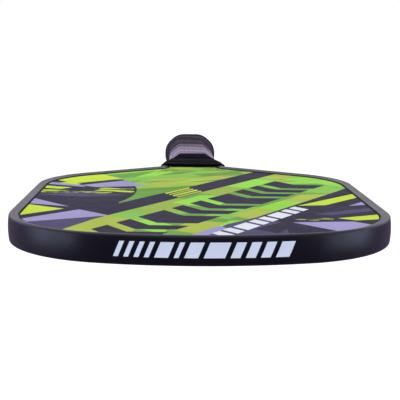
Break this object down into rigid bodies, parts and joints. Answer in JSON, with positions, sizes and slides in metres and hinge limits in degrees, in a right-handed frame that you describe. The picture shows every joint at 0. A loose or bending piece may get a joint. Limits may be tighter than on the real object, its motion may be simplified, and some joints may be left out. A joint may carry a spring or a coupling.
{
  "type": "pickleball paddle",
  "caption": "Pickleball paddle: a flat honeycomb blade in a moulded edge guard, with a flared throat collar and a wrapped octagonal handle that swells at the butt.",
  "frame": {"origin": "centre of the paddle's box, on the blade's mid-plane", "axes": "+X across the blade, +Y from the tip of the head to the butt end, +Z out of the front striking face"},
  "size_m": [0.192, 0.4, 0.034],
  "materials": {
    "guard_plastic": "satin moulded",
    "cap_plastic": "satin moulded",
    "collar_rubber": "matt",
    "core_plastic": "natural",
    "scrim_cloth": "matt",
    "composite_skin": "satin",
    "printed_film": "satin print",
    "pallet_wood": "sanded",
    "grip_wrap": "matt perforated cushion wrap",
    "tape_paper": "matt",
    "badge_plastic": "gloss",
    "tack_steel": "bright"
  },
  "bodies": {
    "root": {"butt_cap": "cap_plastic", "butt_cap_badge": "badge_plastic", "butt_cap_tack_back": "tack_steel", "butt_cap_tack_front": "tack_steel", "core_scrim_back": "scrim_cloth", "core_scrim_front": "scrim_cloth", "cushion_grip": "grip_wrap", "edge_guard": "guard_plastic", "face_sheet_back": "composite_skin", "face_sheet_front": "composite_skin", "finishing_tape": "tape_paper", "graphic_film_back": "printed_film", "graphic_film_front": "printed_film", "grip_adhesive_tape": "tape_paper", "handle_pallet_back": "pallet_wood", "handle_pallet_front": "pallet_wood", "honeycomb_core": "core_plastic", "throat_collar": "collar_rubber"}
  },
  "joints": []
}
